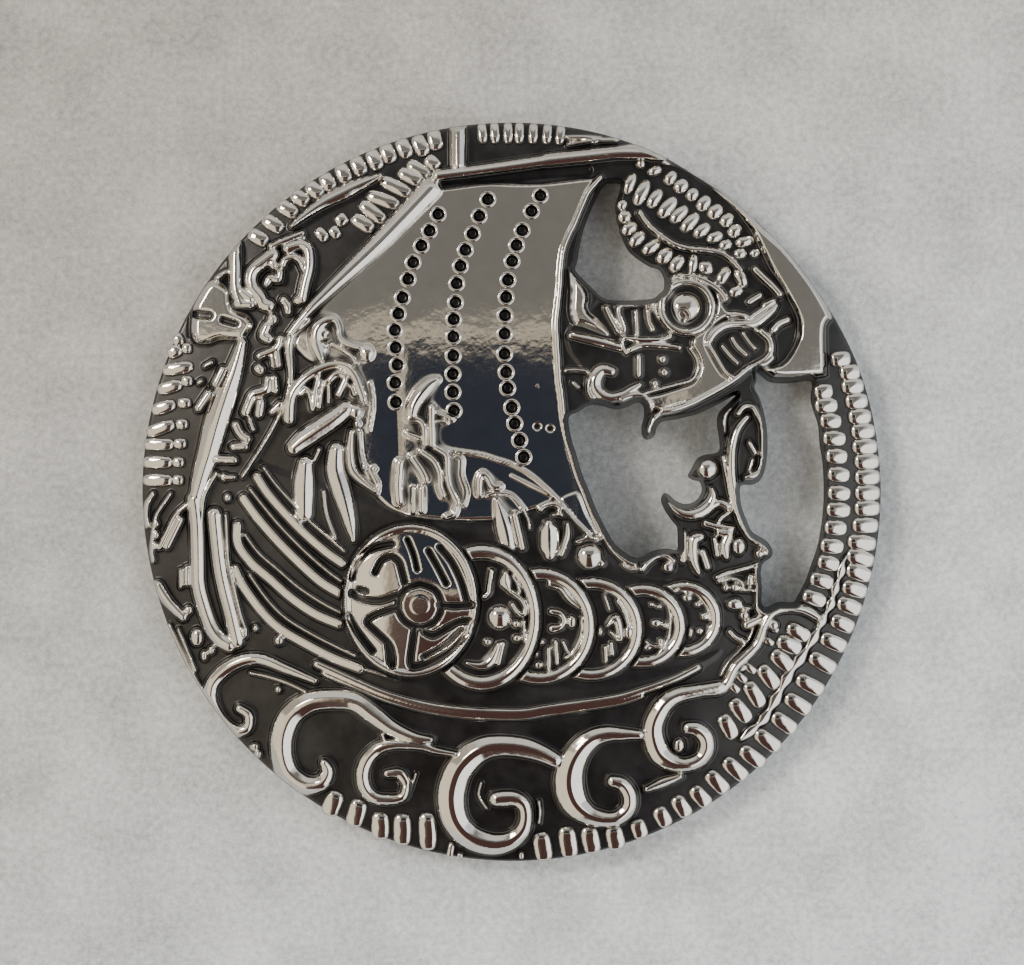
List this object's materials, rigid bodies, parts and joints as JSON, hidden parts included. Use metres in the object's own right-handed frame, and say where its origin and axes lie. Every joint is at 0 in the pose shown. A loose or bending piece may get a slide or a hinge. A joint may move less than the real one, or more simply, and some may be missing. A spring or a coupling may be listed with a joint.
{
  "type": "viking ship brooch",
  "caption": "Round domed brooch in antiqued white metal, pierced and cast with a longship, its sail, a dragon head prow, crew, shields and scrolled waves.",
  "frame": {"origin": "middle of the disc in the plane that the rim rests on", "axes": "+Z out of the front of the brooch, +Y to the top of the picture (the mast's head), +X to the prow's side"},
  "size_m": [0.0448, 0.0449, 0.0052],
  "materials": {
    "antiqued_silver": "polished relief, with black oxide left in the recesses",
    "pin_steel": "plain drawn wire"
  },
  "bodies": {
    "root": {"casting": "antiqued_silver", "pin_clasp": "pin_steel"}
  },
  "joints": []
}
